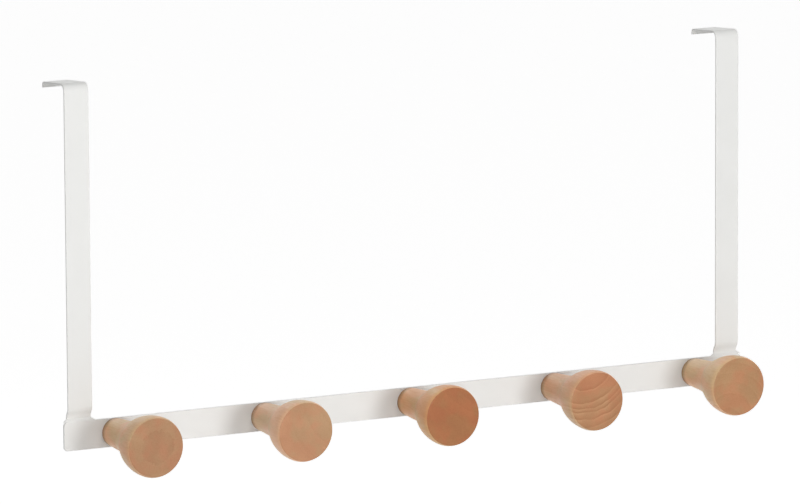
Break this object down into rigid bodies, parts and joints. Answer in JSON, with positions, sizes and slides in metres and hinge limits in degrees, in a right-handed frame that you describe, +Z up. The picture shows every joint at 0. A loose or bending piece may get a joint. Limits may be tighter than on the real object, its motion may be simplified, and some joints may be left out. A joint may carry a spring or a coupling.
{
  "type": "over door hook",
  "caption": "Painted flat steel bar with a row of turned wooden knobs, hung over the top of a door by a bent steel strap at each end.",
  "frame": {"origin": "halfway between the straps, on the top front edge of the door: Z = 0 is the top of the door, where the plates bear at their back lips, and Y = 0 the back of the long run", "axes": "+X along the bar to the right, +Y back towards the door, +Z up; the knobs point to -Y"},
  "size_m": [0.58, 0.1075, 0.2882],
  "materials": {
    "white_paint": "satin powder coat",
    "beech": "fine sanded, thin clear matt lacquer",
    "zinc_steel": "zinc plated"
  },
  "bodies": {
    "root": {"hook_bar": "white_paint", "left_strap": "white_paint", "right_strap": "white_paint", "knob_1": "beech", "knob_2": "beech", "knob_3": "beech", "knob_4": "beech", "knob_5": "beech", "knob_screws": "zinc_steel"}
  },
  "joints": []
}
